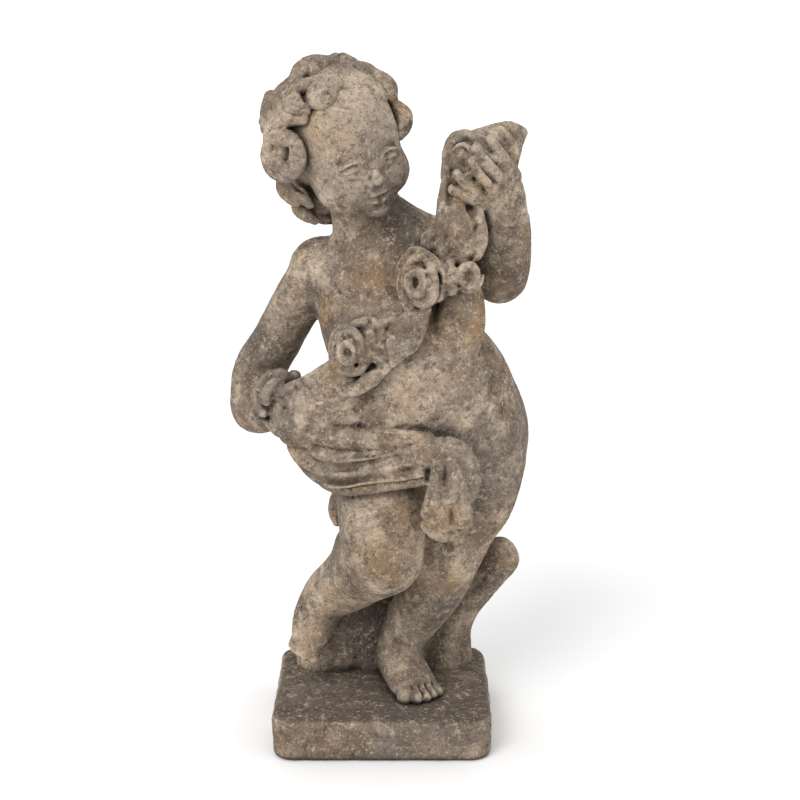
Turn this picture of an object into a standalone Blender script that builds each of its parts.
"""Garden statue of a standing putto with a garland of roses, cast in one piece with its plinth.

The figure is built up as a sculptor would, in clay: round masses and tapering limbs are thrown
together, fused into one skin and smoothed, then dressed with hair, roses and cloth, fused again
and creased with a modelling tool. The plinth is a plain worn slab, joined on by a Boolean union.

The frame is metres, +Z up, with the origin at the centre of the plinth's underside. The figure
faces -Y and +X is on the viewer's right. Left and right below are the viewer's.

The carving is drawn in carving units, shares of the figure's own height, with z counted from the
drawing's ground line. Rows of a limb are x, y, z and radius, or x, y, z and two radii.
"""

import math

import bmesh
import bpy
import numpy as np
from mathutils import Matrix, Vector

# Driving sizes, in metres
FIGURE_HEIGHT = 0.658
PLINTH_WIDTH = 0.224
PLINTH_DEPTH = 0.200
PLINTH_HEIGHT = 0.044
PLINTH_CORNER = 0.022
PLINTH_WEAR = 0.006
BED_DEPTH = 0.012

# The drawing: 658 carving units from the plinth's top, at 42, to the highest curl, at 700
DRAWN_TOP = 700
DRAWN_GROUND = 42
UNIT = FIGURE_HEIGHT / (DRAWN_TOP - DRAWN_GROUND)

# Grain of the clay and rounds of smoothing, for the bare figure and for what dresses it
MASS_GRAIN = 3.0
MASS_SMOOTHING = 30
DRESS_GRAIN = 2.2
DRESS_SMOOTHING = 2
FIGURE_TRIANGLES = 9400

# Corners are rounded in this many steps
CORNER_STEPS = 6
WEAR_STEPS = 3

# Where the head and its ball of hair sit, and how far the head turns, leans and nods, in degrees
HEAD_CENTRE = (-36, -6, 612)
HEAD_YAW = 26
HEAD_ROLL = -17
HEAD_PITCH = 6
HAIR_CENTRE = (-46, 2, 621)

# Locks of hair wind this many times round
CURL_STEPS = 16
CURL_TURNS = 1.2

# Rows of locks on the back of the head: tilt, count and spread, in degrees; their reach and size
BACK_ROWS = ((-47, 5, 150), (-20, 6, 190), (8, 7, 215), (36, 6, 235), (63, 4, 270), (86, 1, 0))
BACK_REACH = 59
BACK_CURL = 18
CURL_PHASE = 70

# Steps along a rose's petal, and thickness of the loincloth's folds
PETAL_STEPS = 14
FOLD_THICKNESS = 10

STONE_COLOUR = (0.235, 0.190, 0.140, 1)
STONE_ROUGHNESS = 0.92


def placed(x, y, z):
    """A drawn point as a place in metres."""
    return Vector((x, y, z - DRAWN_GROUND)) * UNIT + Vector((0, 0, PLINTH_HEIGHT))


def head_turn():
    """Rotation of the head: it nods first, then leans, then turns."""
    matrix = Matrix.Identity(3)
    for axis, angle in (("Z", HEAD_YAW), ("Y", HEAD_ROLL), ("X", HEAD_PITCH)):
        matrix = matrix @ Matrix.Rotation(math.radians(angle), 3, axis)
    return matrix


def smooth_route(rows, steps):
    """Catmull-Rom curve through rows of numbers, with this many steps from each to the next."""
    ends = [rows[0], *rows, rows[-1]]
    route = []
    for i in range(1, len(ends) - 2):
        for step in range(steps):
            t = step / steps
            route.append([
                0.5 * (2 * b + (c - a) * t + (2 * a - 5 * b + 4 * c - d) * t**2
                       + (3 * b - a - 3 * c + d) * t**3)
                for a, b, c, d in zip(*ends[i - 1:i + 3])
            ])
    route.append(list(rows[-1]))
    return route


class Clay:
    """Overlapping closed lumps in one bmesh, drawn in a frame of their own."""

    def __init__(self, centre=(0, 0, 0), rotation=None):
        self.mesh = bmesh.new()
        self.centre = Vector(centre)
        self.rotation = rotation or Matrix.Identity(3)

    def place(self, point):
        """A point of this clay's own frame as a place in metres."""
        return placed(*(self.centre + self.rotation @ Vector(point)))

    def lump(self, centre, radii, detail=3):
        """An ellipsoid with these three radii."""
        matrix = (self.rotation @ Matrix.Diagonal(radii) * UNIT).to_4x4()
        matrix.translation = self.place(centre)
        bmesh.ops.create_icosphere(self.mesh, subdivisions=detail, radius=1, matrix=matrix)

    def limb(self, rows, across=(1, 0, 0), steps=4, sides=14):
        """A round-ended limb; a row's two radii lie along across and square to it."""
        rows = [(*row, row[3]) if len(row) == 4 else row for row in rows]
        route = smooth_route(rows, steps)
        places = [Vector(row[:3]) for row in route]
        last = len(route) - 1
        rings = []
        for i, (place, row) in enumerate(zip(places, route)):
            along = (places[min(i + 1, last)] - places[max(i - 1, 0)]).normalized()
            side = (Vector(across) - along * Vector(across).dot(along)).normalized()
            frame = (side, along.cross(side), row[3], row[4], sides)
            if i == 0:
                rings += self.cap(place, -along, *frame)[::-1]
            rings.append(self.ring(place, *frame))
            if i == last:
                rings += self.cap(place, along, *frame)
        self.skin(rings)

    def ring(self, place, side, front, wide, thick, sides):
        """One ring of vertices round a limb."""
        angles = (2 * math.pi * k / sides for k in range(sides))
        return [
            self.mesh.verts.new(self.place(
                place + side * (wide * math.cos(angle)) + front * (thick * math.sin(angle))))
            for angle in angles
        ]

    def cap(self, place, outward, side, front, wide, thick, sides, rounds=3):
        """The rings that round off a limb's end, and its pole."""
        reach = min(wide, thick)
        rings = []
        for k in range(1, rounds):
            angle = math.pi / 2 * k / rounds
            shrink = math.cos(angle)
            centre = place + outward * (reach * math.sin(angle))
            rings.append(self.ring(centre, side, front, wide * shrink, thick * shrink, sides))
        rings.append([self.mesh.verts.new(self.place(place + outward * reach))])
        return rings

    def skin(self, rings):
        """Faces from each ring to the next; a ring of one vertex is a pole."""
        for low, high in zip(rings, rings[1:]):
            for k in range(max(len(low), len(high))):
                corners = (low[k % len(low)], low[(k + 1) % len(low)],
                           high[(k + 1) % len(high)], high[k % len(high)])
                self.mesh.faces.new(list(dict.fromkeys(corners)))

    def add(self, other):
        """Adds another clay's lumps to these."""
        spare = bpy.data.meshes.new("spare")
        other.mesh.to_mesh(spare)
        self.mesh.from_mesh(spare)
        bpy.data.meshes.remove(spare)

    def object(self, name):
        """These lumps as a mesh object."""
        bmesh.ops.recalc_face_normals(self.mesh, faces=self.mesh.faces)
        data = bpy.data.meshes.new(name)
        self.mesh.to_mesh(data)
        made = bpy.data.objects.new(name, data)
        bpy.context.scene.collection.objects.link(made)
        return made


def torso(clay):
    """Trunk in contrapposto: the hips swing to the right and the chest leans back over them."""
    clay.limb([
        (53, 15, 292, 98, 63), (51, 6, 318, 100, 66), (48, -5, 346, 96, 67), (44, -12, 370, 89, 68),
        (34, -14, 391, 80, 67), (22, -12, 408, 74, 65), (15, -6, 428, 75, 62), (12, 0, 453, 78, 60),
        (8, 5, 480, 77, 56), (2, 8, 503, 66, 46), (-4, 10, 518, 46, 34),
    ], sides=24)
    belly = (((38, -34, 374), (56, 50, 58)), ((4, -36, 352), (46, 42, 40)))
    chest = (((-22, -12, 474), (44, 38, 36)), ((46, -12, 478), (42, 38, 36)))
    blades = (((-28, 26, 476), (38, 32, 42)), ((46, 26, 480), (38, 32, 42)))
    seat = (((16, 38, 268), (48, 46, 46)), ((92, 42, 270), (54, 48, 52)))
    for centre, radii in belly + chest + blades + seat:
        clay.lump(centre, radii)


def neck(clay):
    """Neck, and the slope of the shoulder below it on the side of the raised arm."""
    clay.limb([(-6, 10, 496, 44), (-12, 9, 525, 37), (-18, 6, 552, 35), (-24, 4, 580, 34)])
    clay.limb([(6, 10, 534, 28), (32, 12, 518, 28), (62, 16, 504, 30)])


def arm_down(clay):
    """Left arm: the upper arm hangs back, and the forearm comes forward to the hip."""
    clay.lump((-60, 10, 486), (34, 32, 33))
    clay.limb([
        (-58, 10, 486, 31), (-84, 20, 452, 27), (-107, 28, 410, 26), (-127, 34, 374, 28),
        (-129, 34, 337, 30),
    ])
    clay.limb([(-129, 32, 337, 29), (-123, 8, 342, 27), (-111, -16, 352, 23), (-103, -34, 362, 19)])


def arm_raised(clay):
    """Right arm: out to a low elbow, straight up to the wrist, and the back of the hand."""
    clay.lump((62, 16, 504), (36, 33, 35))
    clay.limb([(58, 16, 504, 34), (90, 12, 492, 31), (116, 0, 484, 29)])
    clay.limb([(118, 0, 481, 30), (120, -14, 506, 29), (121, -28, 535, 26), (119, -40, 556, 22)])
    clay.limb([(120, -42, 554, 23, 18), (116, -52, 572, 23, 14), (112, -58, 587, 20, 10)],
              across=(1, 0, 0.4))


def leg_standing(clay):
    """Right leg, which bears the weight, from the swung hip to the middle of the plinth."""
    clay.limb([
        (97, 16, 290, 54), (91, 8, 250, 49), (78, 0, 222, 43), (69, -6, 198, 39), (60, -6, 170, 36),
        (48, 2, 140, 33), (33, 12, 112, 29), (21, 18, 86, 25), (16, 20, 66, 24),
    ])
    clay.lump((60, -22, 178), (26, 22, 26))
    clay.limb([(12, 32, 58, 23, 20), (17, 14, 62, 24, 22), (26, -13, 57, 26, 18), (34, -36, 51, 26, 12)])


def leg_bent(clay):
    """Left leg: the thigh comes forward, and the shin goes back and down to a foot on the rock."""
    clay.limb([(0, 4, 296, 50), (0, -22, 268, 48), (0, -42, 238, 45), (2, -54, 208, 42)])
    clay.limb([
        (3, -46, 200, 41), (-18, -22, 178, 37), (-37, -2, 156, 33), (-54, 14, 138, 29),
        (-64, 22, 124, 26),
    ])
    clay.lump((-26, -6, 196), (25, 28, 26))
    clay.limb([(-64, 28, 124, 25, 22), (-72, 14, 107, 25, 19), (-78, 3, 91, 21, 14), (-81, -5, 79, 16, 9)])


def support(clay):
    """Rock under the raised foot, and the tree stump with a cut branch that props the figure."""
    rocks = (((-58, 60, 54), (38, 30, 44)), ((-64, 48, 44), (32, 20, 26)),
             ((-36, 62, 82), (42, 28, 42)), ((-12, 62, 122), (34, 26, 42)))
    for centre, radii in rocks:
        clay.lump(centre, radii)
    clay.limb([
        (14, 64, 34, 78, 28), (15, 64, 70, 70, 27), (22, 62, 110, 56, 27), (38, 56, 150, 44, 30),
        (56, 48, 190, 36, 32), (68, 42, 215, 30, 28),
    ])
    clay.limb([(66, 66, 34, 34), (70, 64, 78, 27), (81, 60, 107, 25), (105, 56, 138, 23),
               (126, 51, 165, 23)])


def skull(clay):
    """Skull, cheeks and chin, drawn about the middle of the head."""
    clay.lump((0, 12, 14), (58, 62, 56))
    clay.lump((0, -6, 4), (52, 54, 60))
    clay.lump((0, -14, -20), (49, 43, 50))
    for side in (-1, 1):
        clay.lump((22 * side, -26, -30), (28, 26, 27))
    clay.lump((0, -34, -48), (22, 20, 20))


def scalp(clay):
    """The cap of hair that the locks are set on."""
    clay.lump((-3, 18, 16), (56, 54, 48))
    clay.lump((-6, 24, -8), (52, 46, 44))
    clay.lump((-12, 26, -36), (38, 34, 38))


def face(clay):
    """Eyes, brows, nose and lips."""
    for sign in (-1, 1):
        clay.lump((21 * sign, -45.5, -8), (11, 9.5, 8))
        clay.limb([(10 * sign, -48, 6, 3), (19 * sign, -51, 9, 4.4), (30 * sign, -46, 8, 4.4),
                   (38 * sign, -38, 2, 3)])
        clay.limb([(10 * sign, -50, -8, 2), (15 * sign, -53.5, -3.5, 2.4), (21 * sign, -55, -1.5, 2.6),
                   (28 * sign, -52, -3.5, 2.4), (33 * sign, -46.5, -8, 2)])
        clay.limb([(11 * sign, -50, -11, 1.8), (20 * sign, -53.5, -15, 2.2), (31 * sign, -47, -11, 1.8)])
        clay.lump((6 * sign, -55, -27), (5, 5.5, 4))
    clay.limb([(0, -50, 3, 5), (0, -53, -9, 4.5), (0, -57, -19, 5.5), (0, -58.5, -24, 6.5)])
    clay.limb([(-13, -46, -41.5, 3.5), (-6, -52, -39.5, 4.6), (0, -53, -40, 4.6), (6, -52, -39.5, 4.6),
               (13, -46, -41.5, 3.5)])
    clay.limb([(-10, -47, -45.5, 4), (0, -51.5, -47.5, 5.4), (10, -47, -45.5, 4)])
    clay.lump((0, -44, -57), (13, 11, 9))


def curl(clay, centre, size, phase, spin):
    """A lock wound into a spiral on the ball of hair, its inner end standing proud."""
    outward = Vector(centre).normalized()
    side = outward.cross(Vector((0.2, 0.1, 1))).normalized()
    upward = outward.cross(side)
    rows = []
    for step in range(CURL_STEPS + 1):
        t = step / CURL_STEPS
        angle = math.radians(phase) + spin * t * CURL_TURNS * 2 * math.pi
        reach = 1 - 0.75 * t
        lift = 0.40 * t - 0.40 * (1 - t) ** 2
        offset = side * (reach * math.cos(angle)) + upward * (reach * math.sin(angle)) + outward * lift
        rows.append((*(Vector(centre) + offset * size), size * (0.50 - 0.14 * t)))
    clay.limb(rows, across=outward, steps=1, sides=10)


def hair_front(clay):
    """The locks round the face, drawn about the middle of the ball."""
    locks = (
        ((-16, 3, 60, 8), (-29, -4, 56, 10), (-38, -18, 47, 9), (-40, -34, 39, 10), (-33, -47, 31, 8),
         (-25, -53, 27, 5)),
        ((-22, 3, 59, 6), (-37, 0, 51, 8), (-48, -6, 41, 8.5), (-51, -20, 33, 8), (-43, -40, 27, 8),
         (-34, -50, 24, 5)),
        ((-36, 1, 50, 7), (-47, -1, 41, 10), (-56, -3, 28, 10.5), (-60, -4, 17, 9.5), (-61, -7, 8, 7)),
        ((-31, -53, 20, 7), (-44, -46, 21, 10.5), (-56, -32, 13, 9), (-60, -28, -2, 10.5),
         (-60, -26, -16, 9),
         (-54, -28, -28, 11), (-45, -40, -34, 10), (-36, -51, -28, 9), (-33, -56, -17, 9.5), (-33, -56, -5,
                                                                                              7)),
        ((-44, -48, 6, 7), (-49, -48, -1, 8.5), (-53, -42, -9, 7)),
        ((-50, -6, -40, 7), (-48, -8, -51, 10), (-42, -14, -60, 8), (-36, -18, -64, 6)),
        ((-38, -16, -52, 7), (-31, -20, -58, 8), (-25, -20, -66, 6)),
        ((-36, 2, -62, 7), (-34, -2, -72, 9.5), (-27, -6, -79, 8), (-20, -8, -84, 5)),
        ((-22, 14, -74, 7), (-14, 12, -84, 7), (-4, 10, -86, 5)),
        ((-38, 1, 53, 7), (-31, 3, 61, 10), (-20, 5, 67, 10), (-9, 5, 68, 8)),
        ((-4, 5, 68, 7.5), (6, 6, 70, 9), (17, 6, 67, 7.5)),
        ((34, 6, 56, 7), (45, 5, 51, 10), (53, 3, 43, 10), (55, -2, 36, 7)),
        ((62, -2, 26, 7), (67, -2, 18, 10), (67, -8, 8, 9), (63, -14, 0, 6)),
        ((62, 0, -4, 4), (62, 4, -14, 4.5), (58, 6, -26, 4)),
        ((18, 6, 65, 6), (30, 6, 62, 7.5), (40, 6, 55, 7.5)),
        ((-62, 12, 34, 8), (-66, 14, 20, 8), (-66, 14, 4, 8)),
    )
    for lock in locks:
        clay.limb(lock, sides=16)
    for centre, radii in (((-10, -47, 40), (15, 13, 15)), ((-4, -36, 50), (14, 14, 12)),
                          ((-47, -36, -7), (12, 14, 19))):
        clay.lump(centre, radii)
    clay.limb([
        (-14, -18, 58, 12, 8), (0, -22, 58, 19, 9), (15, -22, 56, 21, 9), (29, -20, 51, 20, 9), (40, -16,
                                                                                                 44, 16, 8),
        (47, -13, 36, 9, 7),
    ], across=(0.1, 0.92, 0.4))


def hair_back(clay):
    """Plain rows of wound locks over the back of the head."""
    for tilt, count, spread in BACK_ROWS:
        rise = math.radians(tilt)
        for k in range(count):
            angle = math.radians(90 + HEAD_YAW + spread * ((k + 0.5) / count - 0.5))
            outward = Vector((math.cos(angle) * math.cos(rise), math.sin(angle) * math.cos(rise),
                              math.sin(rise)))
            curl(clay, outward * BACK_REACH, BACK_CURL, CURL_PHASE * k + tilt, (-1) ** k)


def rose(clay, centre, facing, size, tall, petals):
    """A full-blown rose: rolled petals round a deep eye, on a round back.

    Each petal is its reach, thickness and lift, as shares of the size, and its middle and span.
    """
    centre = Vector(centre)
    facing = Vector(facing).normalized()
    side = facing.cross(Vector((0, 0, 1))).normalized()
    upward = side.cross(facing)

    def arc(reach, thick, lift, middle, span):
        """Lays one roll round the eye, thinner and lower towards its ends."""
        rows = []
        for k in range(PETAL_STEPS + 1):
            t = 2 * k / PETAL_STEPS - 1
            angle = math.radians(middle + span / 2 * t)
            fall = t * t
            wavy = reach * (1 + 0.07 * math.cos(3 * angle + 9 * reach)) * (1 - 0.10 * t)
            offset = (side * (wavy * math.cos(angle)) + upward * (tall * wavy * math.sin(angle))
                      + facing * (lift - 0.25 * fall))
            rows.append((*(centre + offset * size), thick * size * (1 - 0.40 * fall)))
        clay.limb(rows, across=facing, steps=1, sides=10)

    for reach, thick, lift, middle, span in petals:
        arc(reach, thick, lift, middle, span)
    clay.lump(centre - facing * (0.44 * size), (0.9 * size, 0.48 * size, 1.0 * size))


def leaf(clay, rows, across, thick):
    """A fleshy leaf or petal through rows of x, y, z and half width."""
    clay.limb([(*row, thick) for row in rows], across=across)


def swag(clay):
    """The cloth, from the raised hand across the chest to the fist at the hip."""
    fall = (0.5, 0, -0.85)
    clay.limb([
        (88, -44, 584, 19, 17), (80, -46, 552, 15, 14), (74, -48, 522, 16, 14), (58, -54, 492, 20, 15),
        (28, -56, 460, 13, 14), (-6, -60, 430, 15, 14), (-40, -64, 392, 20, 15), (-72, -56, 366, 23, 15),
        (-94, -46, 348, 22, 16),
    ], across=fall)
    clay.limb([
        (-24, -56, 378, 20, 12), (-50, -56, 356, 24, 14), (-76, -48, 336, 22, 16), (-90, -42, 330, 15, 14),
    ], across=fall)
    clay.limb([
        (80, -52, 484, 15, 12), (80, -54, 466, 21, 12), (77, -57, 446, 25, 11), (74, -58, 424, 24, 9),
        (70, -58, 402, 20, 6),
    ], across=(1, 0, 0.2))
    clay.limb([
        (-108, -54, 368, 4), (-99, -59, 375, 5), (-88, -62, 381, 5.5), (-75, -64, 387, 5.5), (-64, -67, 394,
                                                                                              5.5),
        (-52, -71, 403, 5),
    ])
    clay.limb([(-100, -50, 364, 9), (-97, -56, 352, 11), (-95, -55, 339, 11), (-97, -48, 329, 6)])
    clay.limb([(-84, -58, 358, 9), (-80, -60, 347, 10), (-82, -58, 335, 9)])
    clay.limb([(-112, -44, 340, 5), (-104, -48, 332, 5), (-94, -46, 327, 4)])


def roses(clay):
    """The three roses of the swag, and the one that the raised hand closes on; a petal a row."""
    rose(clay, (36, -81, 488), (-0.42, -0.90, 0.08), 20, 1.34, (
        (0.40, 0.31, 0.22, 190, 300), (0.46, 0.28, 0.18, 20, 250), (0.84, 0.27, 0.06, 200, 200),
        (0.90, 0.25, 0.00, 40, 210), (1.02, 0.20, -0.12, 320, 150), (1.14, 0.19, -0.24, 110, 130),
        (1.18, 0.18, -0.28, 20, 120)))
    rose(clay, (-31, -83, 421), (-0.34, -0.93, 0.10), 19, 1.26, (
        (0.36, 0.31, 0.24, 150, 290), (0.42, 0.29, 0.18, 330, 240), (0.78, 0.28, 0.08, 110, 210),
        (0.86, 0.26, 0.02, 280, 190), (1.06, 0.19, -0.16, 20, 130), (1.02, 0.18, -0.20, 190, 130)))
    rose(clay, (84, -73, 494), (0.02, -0.98, 0.14), 12, 1.36, (
        (0.62, 0.38, 0.10, 60, 330), (0.66, 0.36, 0.04, 230, 220), (1.0, 0.22, -0.2, 250, 140)))
    rose(clay, (79, -68, 608), (-0.35, -0.92, 0.15), 20, 1.06, (
        (0.14, 0.20, 0.16, 90, 300), (0.46, 0.24, 0.20, 110, 250), (0.86, 0.25, 0.06, 80, 230),
        (0.80, 0.27, 0.10, 215, 120), (1.0, 0.20, -0.12, 180, 130), (1.02, 0.2, -0.2, 40, 120)))


def leaves(clay):
    """The petals, twists and ragged leaves between the roses."""
    leaves = (
        ((0.9, 0.1, 0.3), 9, ((40, -70, 460, 9), (28, -79, 444, 17), (18, -86, 428, 16),
                              (10, -84, 411, 5))),
        ((1, 0, 0), 5, ((-11, -76, 443, 5), (-9, -83, 430, 6), (-4, -86, 416, 6), (4, -84, 407, 4))),
        ((1, 0, 0), 5, ((0, -76, 443, 5), (3, -83, 428, 5), (8, -84, 414, 4))),
        ((0, 0, 1), 5, ((-24, -74, 446, 5), (-13, -77, 449, 6), (0, -77, 447, 5), (12, -76, 452, 4))),
        ((0.5, 0, 0.9), 6, ((-36, -76, 379, 5), (-22, -84, 386, 8), (-8, -88, 396, 8), (5, -84, 406, 5))),
        ((1, 0, 0), 5, ((66, -68, 506, 5), (67, -73, 491, 6.5), (68, -71, 478, 6))),
        ((1, 0, 0), 4, ((60, -72, 500, 4), (58, -76, 486, 5), (56, -76, 472, 4))),
        ((1, 0, 0), 8, ((75, -60, 572, 5), (72, -64, 556, 10), (75, -68, 538, 15), (78, -67, 521, 15),
                        (76, -62, 510, 8))),
        ((1, 0, 0), 7, ((92, -58, 556, 6), (94, -63, 540, 8), (95, -65, 524, 8), (92, -63, 511, 5))),
        ((1, 0, 0), 7, ((63, -54, 584, 5), (60, -59, 564, 6), (58, -61, 542, 6), (56, -60, 528, 4))),
        ((1, 0, 0), 5, ((55, -59, 540, 4), (47, -64, 529, 8), (43, -63, 515, 5))),
        ((1, 0, 0), 5, ((60, -61, 532, 4), (57, -68, 520, 8), (56, -66, 507, 5))),
        ((1, 0, 0), 4, ((50, -56, 520, 4), (44, -58, 512, 5), (40, -60, 503, 4))),
        ((1, 0, 0), 4, ((66, -60, 522, 5), (66, -66, 512, 6), (64, -66, 504, 4))),
    )
    for across, thick, rows in leaves:
        leaf(clay, rows, across, thick)


def cloth_tip(clay):
    """The gathered cloth that stands up out of the raised hand."""
    clay.limb([
        (136, -30, 625, 6, 6), (127, -34, 618, 13, 9), (116, -38, 606, 19, 13), (102, -46, 592, 20, 15),
    ], across=(0.75, 0, -0.65))
    clay.limb([(84, -46, 622, 6), (96, -44, 625, 7), (110, -40, 628, 7.5), (124, -35, 630, 7),
               (135, -31, 627, 5)])
    clay.limb([(114, -48, 629, 5), (123, -48, 617, 7), (126, -50, 604, 7), (124, -51, 592, 5)])
    clay.limb([(106, -50, 626, 4), (112, -50, 618, 5), (117, -52, 606, 5)])
    clay.limb([(82, -46, 566, 20, 15), (77, -48, 586, 20, 15), (78, -48, 606, 18, 13)])
    clay.lump((98, -50, 598), (24, 18, 26))


def fingers(clay):
    """The fingers of both hands: round the rose above, and round the swag at the hip."""
    raised = (
        ((99, -50, 560, 8), (93, -59, 567, 7.4), (85, -68, 577, 6.4), (78, -72, 587, 5.2)),
        ((109, -52, 570, 8.6), (103, -62, 577, 8), (96, -71, 590, 7), (88, -75, 603, 5.6)),
        ((119, -50, 580, 9), (113, -61, 588, 8.2), (103, -71, 602, 7.2), (92, -76, 614, 5.8)),
        ((127, -48, 586, 9), (122, -57, 594, 8), (113, -66, 608, 7), (104, -70, 622, 5.8)),
        ((98, -48, 557, 7), (90, -57, 562, 6.6), (80, -64, 567, 6), (70, -67, 572, 5)),
    )
    hip = (
        ((-101, -40, 386, 9), (-99, -45, 387, 8.5)), ((-87, -34, 384, 7.5), (-88, -40, 385, 6.5)),
        ((-95, -44, 384, 8), (-105, -55, 381, 7.4), (-112, -60, 375, 6.6), (-113, -58, 366, 5.4)),
        ((-109, -36, 385, 7.5), (-118, -46, 378, 7), (-121, -51, 370, 6.4), (-121, -50, 361, 5.2)),
        ((-112, -40, 366, 8), (-119, -45, 357, 7), (-117, -51, 352, 5.4)),
        ((-112, -30, 346, 8), (-118, -36, 345, 7.5), (-125, -42, 346, 7)),
    )
    for rows in raised + hip:
        clay.limb(rows, sides=16)
    clay.limb([(114, -48, 576, 20, 7), (104, -55, 590, 19, 7), (96, -60, 600, 15, 6)], across=(0.6, 0, 0.8))
    clay.lump((-103, -36, 366), (19, 19, 21))


def loincloth(clay):
    """Folds swept from the hip round the front of the belly to the knot; each row has its height."""
    level = (0, 0, 1)
    for centre, radii in (((-30, -14, 304), (46, 50, 26)), ((14, -34, 304), (60, 44, 24)),
                          ((58, -50, 312), (36, 34, 24)), ((64, -74, 296), (26, 20, 28))):
        clay.lump(centre, radii)
    clay.limb([
        (-76, -28, 318, 14, 20), (-66, -38, 304, 14, 20), (-48, -46, 292, 15, 20), (-20, -56, 288, 14, 18),
    ], across=level)
    folds = (
        ((-70, 0, 331, 9), (-77, -24, 331, 9), (-67, -50, 331, 11), (-46, -65, 331, 11),
         (-20, -75, 332, 11), (7, -80, 333, 11),
         (30, -83, 333, 10), (46, -82, 332, 8)),
        ((-66, 0, 316, 8), (-73, -24, 316, 8), (-62, -53, 313, 8), (-46, -64, 311, 8), (-20, -75, 312, 8),
         (7, -80, 318, 8),
         (30, -84, 325, 8), (53, -87, 329, 8)),
        ((-62, 2, 302, 8), (-68, -22, 302, 8), (-60, -50, 297, 9), (-46, -63, 294, 9), (-24, -74, 298, 9),
         (-1, -80, 305, 9),
         (23, -84, 313, 9), (44, -87, 319, 8)),
        ((-56, 4, 289, 8), (-61, -22, 288, 8), (-53, -54, 282, 9), (-36, -69, 283, 9), (-13, -77, 289, 9),
         (11, -82, 293, 8),
         (38, -86, 299, 8)),
        ((-44, 4, 276, 6), (-50, -22, 275, 6), (-44, -54, 275, 6), (-30, -69, 276, 6), (-9, -77, 281, 6),
         (19, -82, 286, 5), (42, -85, 290, 5)),
    )
    for fold in folds:
        clay.limb([(*row, FOLD_THICKNESS) for row in fold], across=level)


def knot(clay):
    """A loop over three strands, and an end with two lobes and a rolled hem."""
    strands = (
        ((34, -84, 306, 8), (46, -90, 321, 9), (60, -92, 329, 10), (76, -92, 324, 10), (86, -89, 309, 9.5),
         (89, -87, 292, 9), (86, -85, 277, 8)),
        ((42, -86, 310, 7), (55, -91, 313, 7), (54, -95, 294, 8), (51, -95, 276, 9), (47, -91, 261, 9)),
        ((58, -92, 318, 7), (68, -94, 314, 7), (72, -98, 299, 8.5), (68, -98, 284, 8.5), (61, -93, 268, 8)),
        ((74, -90, 314, 6), (80, -94, 296, 7), (78, -92, 278, 7)),
        ((50, -88, 258, 10), (58, -94, 263, 9.5), (60, -93, 250, 9)),
        ((76, -91, 271, 9.5), (80, -95, 260, 10.5), (77, -92, 248, 9.5)),
        ((43, -85, 246, 5), (52, -91, 239, 5.5), (65, -93, 236, 5.5), (77, -91, 239, 5.5),
         (85, -86, 247, 5)),
    )
    for strand in strands:
        clay.limb(strand, sides=16)
    clay.lump((64, -80, 258), (22, 14, 20))


def cloth_behind(clay):
    """Three folds go on round the left hip, and an end of the cloth falls behind the thigh."""
    for drop, (start, thick) in enumerate(((328, 10), (312, 9), (298, 8))):
        clay.limb([
            (-78 + 6 * drop, -26, start, 9, thick), (-80 + 4 * drop, 14, start - 2, 9, thick),
            (-56, 48, start - 2, 9, thick), (-20, 66, start - 6, 9, thick), (8, 68, start - 12, 8, 7),
            (30, 52, start - 18, 6, 5),
        ], across=(0, 0, 1))
    clay.limb([
        (-20, 58, 304, 36, 18), (-20, 60, 266, 32, 15), (-20, 50, 230, 27, 11), (-21, 42, 212, 22, 8),
    ], across=(1, 0.5, 0))
    for x, y, low in ((-42, 28, 212), (-30, 42, 210), (-14, 54, 216), (4, 62, 226)):
        clay.limb([(x - 4, y + 2, 306, 9, 9), (x, y + 6, 262, 9, 8), (x + 2, y - 2, low, 7, 6)])


def toes(clay):
    """Five toes on each foot, the big one on the inner side."""
    standing = (
        ((24, -38, 53), (24, -54, 50), 10, 9), ((33, -38, 52), (36, -56, 49), 7.6, 6.6),
        ((41, -34, 51), (45, -51, 48), 7.4, 6.2), ((47, -30, 50), (52, -44, 48), 7, 5.8),
        ((51, -24, 50), (58, -36, 47), 6.6, 5.4),
    )
    raised = (
        ((-72, 2, 86), (-73, -8, 72), 7.4, 6.6), ((-79, 2, 88), (-82, -9, 75), 5.6, 4.8),
        ((-84, 3, 90), (-88, -8, 79), 5.2, 4.4), ((-88, 5, 92), (-93, -6, 82), 4.8, 4.2),
        ((-91, 8, 94), (-96, -3, 86), 4.6, 3.8),
    )
    for base, tip, thick, thin in standing + raised:
        clay.limb([(*base, thick), (*tip, thin)], sides=16)


class Tool:
    """A modelling tool for creases, worked over a fused skin."""

    def __init__(self, mesh):
        mesh.normal_update()
        self.mesh = mesh
        self.coords = np.array([vert.co for vert in mesh.verts])
        self.normals = np.array([vert.normal for vert in mesh.verts])
        self.sunk = np.zeros(len(self.coords))

    def press(self, clay, rows):
        """Presses along rows of x, y, z, half width and depth, drawn in a clay's frame."""
        route = [(np.array(clay.place(row[:3])), row[3] * UNIT, row[4] * UNIT)
                 for row in smooth_route(rows, 4)]
        for (start, wide, deep), (end, _, _) in zip(route, route[1:]):
            along = end - start
            share = np.clip((self.coords - start) @ along / (along @ along), 0, 1)
            away = np.linalg.norm(self.coords - start - share[:, None] * along, axis=1) / wide
            self.sunk = np.maximum(self.sunk, deep * np.exp(-away**2))

    def release(self):
        """Moves the pressed vertices in."""
        for vert, place in zip(self.mesh.verts, self.coords - self.normals * self.sunk[:, None]):
            vert.co = place


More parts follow.
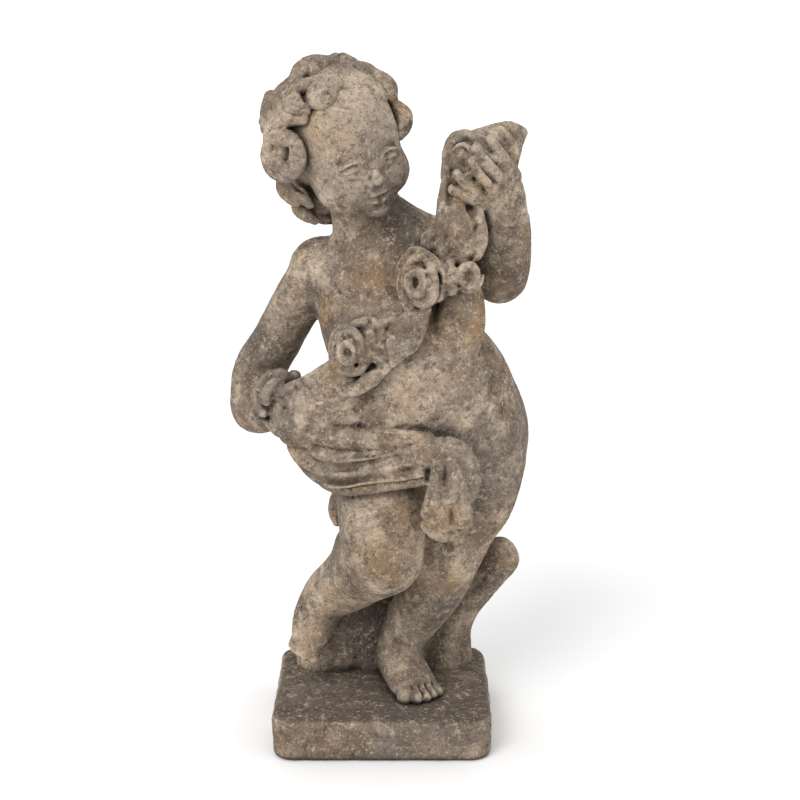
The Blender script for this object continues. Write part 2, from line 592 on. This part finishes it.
def body_creases():
    """Spine, seat, arm, flank, wrist and chest: rows of x, y, z, half width and depth."""
    return (
        ((-6, 64, 500, 8, 2), (2, 62, 460, 9, 3), (18, 58, 410, 10, 4), (34, 58, 360, 10, 4),
         (46, 72, 318, 9, 4)),
        ((50, 80, 306, 7, 3), (54, 88, 278, 9, 9), (54, 80, 244, 9, 8), (50, 60, 226, 8, 4)),
        ((-38, -34, 494, 4, 0.5), (-46, -28, 476, 4, 2.5), (-52, -22, 458, 4, 2.5), (-54, -16, 444, 3, 1)),
        ((97, -40, 440, 3, 0.5), (101, -42, 422, 4, 2), (101, -44, 396, 5, 2.6), (99, -46, 365, 5, 2.6),
         (96, -46, 340, 4, 1)),
        ((98, -66, 552, 3, 0.5), (108, -66, 544, 3.5, 2), (122, -62, 540, 3, 1)),
        ((-44, -44, 452, 6, 0.5), (-24, -52, 444, 6, 2), (-4, -56, 446, 6, 1.5)),
    )


def garland_creases():
    """The eyes of the roses, and folds in the cloth of the swag."""
    return (
        ((27, -110, 489, 4.5, 7), (34, -92, 488, 4.5, 7)), ((-36, -104, 424, 3, 5), (-32, -92, 422, 3, 5)),
        ((84, -96, 496, 5, 8), (84, -84, 495, 5, 8)),
        ((59, -76, 468, 2.4, 1), (55, -78, 450, 3, 3), (52, -80, 436, 2.5, 1)),
        ((-88, -74, 361, 2.5, 1), (-68, -78, 367, 3, 2), (-45, -82, 375, 2.5, 0.5)),
        ((-90, -72, 350, 2.5, 1), (-70, -74, 352, 3, 1.6), (-48, -76, 360, 2.5, 0.5)),
        ((-106, -64, 372, 2, 1), (-90, -72, 378, 2.4, 3), (-72, -76, 384, 2.4, 2), (-56, -80, 396, 2, 0.6)),
        ((84, -76, 560, 2.4, 1), (86, -80, 540, 2.8, 4), (87, -80, 520, 2.8, 4)),
        ((66, -66, 566, 2, 1), (65, -70, 548, 2.4, 4), (63, -70, 530, 2.4, 3)),
    )


def loincloth_creases():
    """The valleys between the folds, and the grooves of the knot."""
    return (
        ((-46, -76, 354, 2.5, 0.5), (-24, -82, 348, 3, 2.5), (3, -88, 344, 3, 3.5),
         (22, -90, 343, 2.6, 1.5)),
        ((-78, -58, 324, 1.5, 0.8), (-60, -68, 322, 2, 1.6), (-44, -76, 322, 1.5, 0.6)),
        ((-56, -72, 320, 2, 1), (-38, -80, 318, 3, 4), (-20, -86, 319, 3.4, 5), (-3, -90, 321, 3, 4),
         (19, -93, 327, 2.4, 2.5), (38, -95, 334, 2, 1)),
        ((-82, -52, 309, 2, 1), (-74, -58, 305, 2.5, 2), (-58, -68, 301, 3, 3.5), (-36, -80, 303, 3.4, 5),
         (-20, -86, 308, 3, 4), (-5, -89, 313, 2.4, 2.5), (19, -93, 321, 2, 1.2)),
        ((-80, -52, 294, 2, 1), (-70, -60, 289, 2.5, 2.5), (-55, -69, 286, 3, 4), (-36, -80, 288, 3, 4),
         (-12, -88, 295, 2.6, 3), (11, -92, 300, 2.2, 2.5), (34, -95, 307, 2, 1.5)),
        ((-52, -70, 276, 2, 1), (-32, -80, 281, 2.4, 2.5), (-8, -87, 287, 2.4, 3), (19, -92, 291, 2.2, 3),
         (40, -94, 296, 2, 2)),
        ((47, -102, 300, 1.8, 1), (46, -104, 285, 2.2, 2.5), (45, -102, 272, 2, 1)),
        ((63, -104, 312, 1.8, 1), (61, -106, 296, 2.4, 2.5), (61, -106, 282, 2, 1.5)),
        ((67, -104, 272, 2, 1), (67, -106, 260, 2.4, 3.5), (66, -104, 248, 2.2, 2)),
        ((44, -96, 250, 1.6, 1), (56, -102, 244, 2, 2), (72, -102, 244, 2, 2), (84, -96, 250, 1.6, 1)),
        ((54, -106, 270, 1.6, 1), (64, -108, 276, 2, 2), (74, -104, 274, 1.8, 1.5)),
    )


def creases(mesh, head):
    """Presses every crease in, the eyes and the mouth too, once the skin is one piece."""
    tool = Tool(mesh)
    body = Clay()
    for crease in body_creases() + garland_creases() + loincloth_creases():
        tool.press(body, crease)
    for x, y, lean in ((30, -46, 0.15), (39, -44, 0.25), (46, -39, 0.35), (52, -32, 0.45)):
        tool.press(body, [(x - 8 * lean, y + 8, 58, 1.4, 1), (x, y - 2, 57, 1.6, 3.5),
                          (x + 12 * lean, y - 12, 50, 1.6, 3.5)])
    for sign in (-1, 1):
        tool.press(head, [(8 * sign, -52, -6, 3.5, 3), (14 * sign, -54, 1, 3, 2),
                          (22 * sign, -55, 3, 3, 2.2),
                          (32 * sign, -48, 0, 3, 2)])
        tool.press(head, [(13 * sign, -54, -8, 2.2, 1.2), (21 * sign, -57, -5.5, 2.2, 1.6),
                          (30 * sign, -51, -8, 2.2, 1.2)])
        tool.press(head, [(10 * sign, -50, -16, 3, 1), (20 * sign, -52, -20, 3.5, 1.4),
                          (30 * sign, -47, -16, 3, 1)])
        tool.press(head, [(11 * sign, -54, -30, 4, 1.4), (15 * sign, -51, -40, 4, 1.6)])
    tool.press(head, [(-14, -50, -42.5, 2.6, 1.2), (0, -57, -43.5, 2.6, 2.4), (14, -50, -42.5, 2.6, 1.2)])
    tool.press(head, [(-8, -54, -52, 3, 1.2), (0, -56, -53, 3, 1.6), (8, -54, -52, 3, 1.2)])
    tool.release()


def modifier(made, name, kind, **settings):
    """Adds a modifier with these settings."""
    added = made.modifiers.new(name, kind)
    for key, value in settings.items():
        setattr(added, key, value)


def fused(clay, grain, smoothing):
    """The clay run together into one smoothed skin."""
    made = clay.object("clay")
    modifier(made, "Fuse", "REMESH", mode="VOXEL", voxel_size=grain * UNIT)
    modifier(made, "Soften", "SMOOTH", factor=0.5, iterations=smoothing)
    mesh = bpy.data.meshes.new_from_object(made.evaluated_get(bpy.context.evaluated_depsgraph_get()))
    bpy.data.objects.remove(made)
    result = Clay()
    result.mesh.from_mesh(mesh)
    bpy.data.meshes.remove(mesh)
    keep_largest(result.mesh)
    return result


def keep_largest(mesh):
    """Deletes the crumbs and inner hollows that fusing leaves, which are every shell but the largest."""
    left = set(mesh.verts)
    shells = []
    while left:
        shell = [left.pop()]
        for vert in shell:
            near = left.intersection(edge.other_vert(vert) for edge in vert.link_edges)
            left -= near
            shell.extend(near)
        shells.append(shell)
    for shell in sorted(shells, key=len)[:-1]:
        bmesh.ops.delete(mesh, geom=shell, context="VERTS")


def bedded(mesh):
    """Cuts the clay level where it is let into the plinth, and closes the cut."""
    parts = [*mesh.verts, *mesh.edges, *mesh.faces]
    level = Vector((0, 0, PLINTH_HEIGHT - BED_DEPTH))
    bmesh.ops.bisect_plane(mesh, geom=parts, plane_co=level, plane_no=(0, 0, 1), clear_inner=True)
    bmesh.ops.holes_fill(mesh, edges=[edge for edge in mesh.edges if edge.is_boundary])


def plinth():
    """The worn slab: its upright corners are rounded first, then its top and bottom edges."""
    clay = Clay()
    size = Vector((PLINTH_WIDTH, PLINTH_DEPTH, PLINTH_HEIGHT))
    middle = Vector((0, 0, PLINTH_HEIGHT / 2))
    bmesh.ops.create_cube(clay.mesh, size=1, matrix=Matrix.LocRotScale(middle, None, size))
    upright = [edge for edge in clay.mesh.edges if all(abs(face.normal.z) < 0.5 for face in edge.link_faces)]
    bmesh.ops.bevel(clay.mesh, geom=upright, offset=PLINTH_CORNER, segments=CORNER_STEPS, profile=0.5,
                    affect="EDGES")
    rims = [edge for edge in clay.mesh.edges
            if sorted(round(abs(face.normal.z)) for face in edge.link_faces) == [0, 1]]
    bmesh.ops.bevel(clay.mesh, geom=rims, offset=PLINTH_WEAR, segments=WEAR_STEPS, profile=0.5,
                    affect="EDGES")
    slab = clay.object("plinth_slab")
    slab.hide_render = True
    slab.display_type = "WIRE"
    return slab


def stone():
    """Weathered cast stone."""
    material = bpy.data.materials.new("stone")
    material.use_nodes = True
    shader = material.node_tree.nodes["Principled BSDF"]
    shader.inputs["Base Color"].default_value = STONE_COLOUR
    shader.inputs["Roughness"].default_value = STONE_ROUGHNESS
    return material


def main():
    """Clears the scene and builds the statue."""
    for old in list(bpy.data.objects):
        bpy.data.objects.remove(old)
    figure = Clay()
    for build in (torso, neck, arm_down, arm_raised, leg_standing, leg_bent, support):
        build(figure)
    head = Clay(HEAD_CENTRE, head_turn())
    skull(head)
    figure.add(head)
    figure = fused(figure, MASS_GRAIN, MASS_SMOOTHING)

    for build in (swag, roses, leaves, cloth_tip, fingers, loincloth, knot, cloth_behind, toes):
        build(figure)
    head = Clay(HEAD_CENTRE, head_turn())
    scalp(head)
    face(head)
    figure.add(head)
    hair = Clay(HAIR_CENTRE)
    hair_front(hair)
    hair_back(hair)
    figure.add(hair)
    figure = fused(figure, DRESS_GRAIN, DRESS_SMOOTHING)
    creases(figure.mesh, head)
    bedded(figure.mesh)

    for facet in figure.mesh.faces:
        facet.smooth = True
    triangles = sum(len(face.verts) - 2 for face in figure.mesh.faces)
    statue = figure.object("putto_statue")
    modifier(statue, "Fewer facets", "DECIMATE", ratio=FIGURE_TRIANGLES / triangles)
    modifier(statue, "Join plinth", "BOOLEAN", operation="UNION", solver="EXACT", object=plinth())
    statue.data.materials.append(stone())


main()
